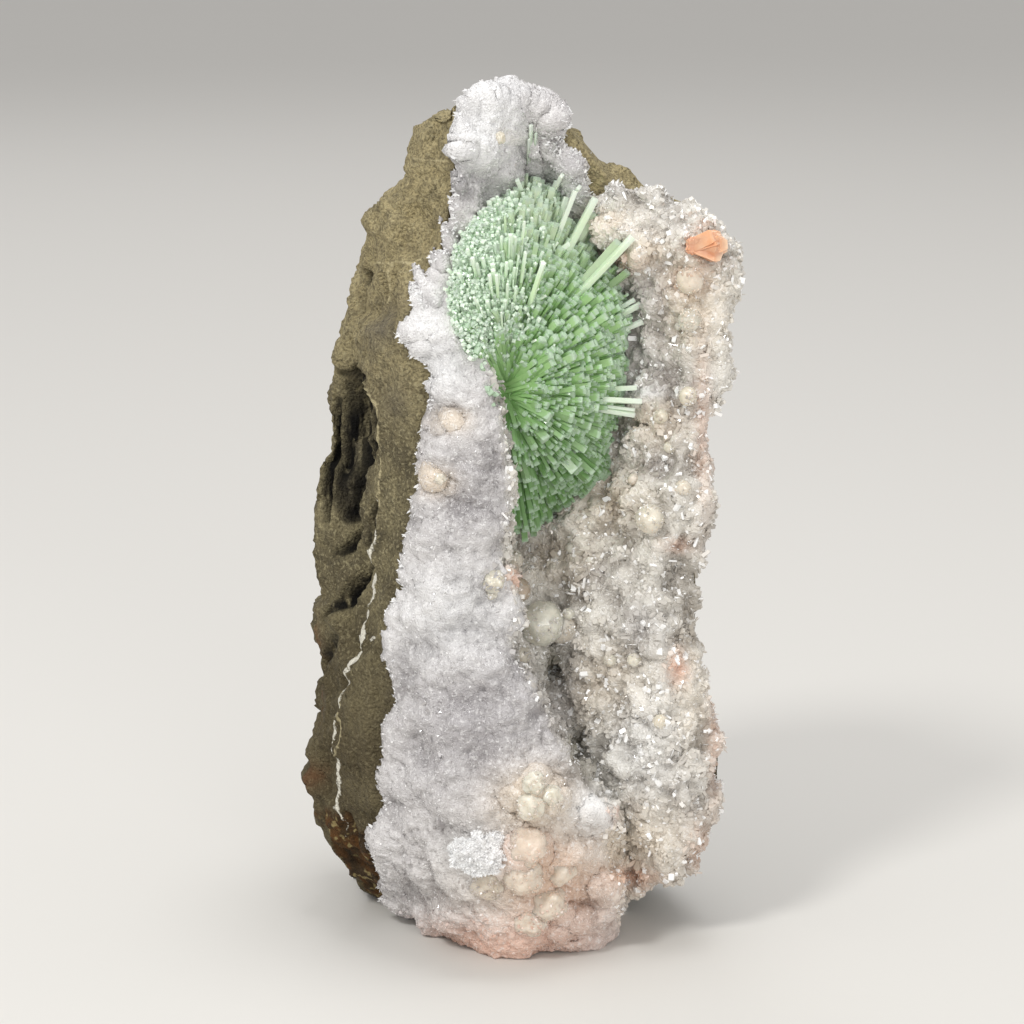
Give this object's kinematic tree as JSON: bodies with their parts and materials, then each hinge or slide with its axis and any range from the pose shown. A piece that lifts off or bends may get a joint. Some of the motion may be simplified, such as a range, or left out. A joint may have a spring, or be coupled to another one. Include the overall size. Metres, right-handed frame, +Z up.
{
  "type": "natrolite specimen on matrix",
  "caption": "Upright block of dark basalt with a white druse-lined hollow that holds a radiating spray of pale green natrolite prisms, with small round growths; stands on a flat base.",
  "frame": {"origin": "a point near the middle of the flat rest face under the basalt", "axes": "+Z up along the upright block, -Y out of the front with the spray, +X to the right seen from the front"},
  "size_m": [0.0618, 0.0566, 0.1241],
  "materials": {
    "basalt": "rough broken stone",
    "druse": "sparkling sugary crystals",
    "natrolite": "vitreous, translucent",
    "pearl": "waxy, translucent",
    "tuft": "fine fluffy crystals",
    "stilbite": "pearly"
  },
  "bodies": {
    "root": {"basalt_matrix": "basalt", "druse_lining": "druse", "natrolite_spray": "natrolite", "cleft_balls": "pearl", "brown_ball": "pearl", "right_ball": "pearl", "upper_ball": "pearl", "edge_ball": "pearl", "base_knobs": "pearl", "low_knobs": "pearl", "white_tuft": "tuft", "stilbite_crystal": "stilbite"}
  },
  "joints": []
}
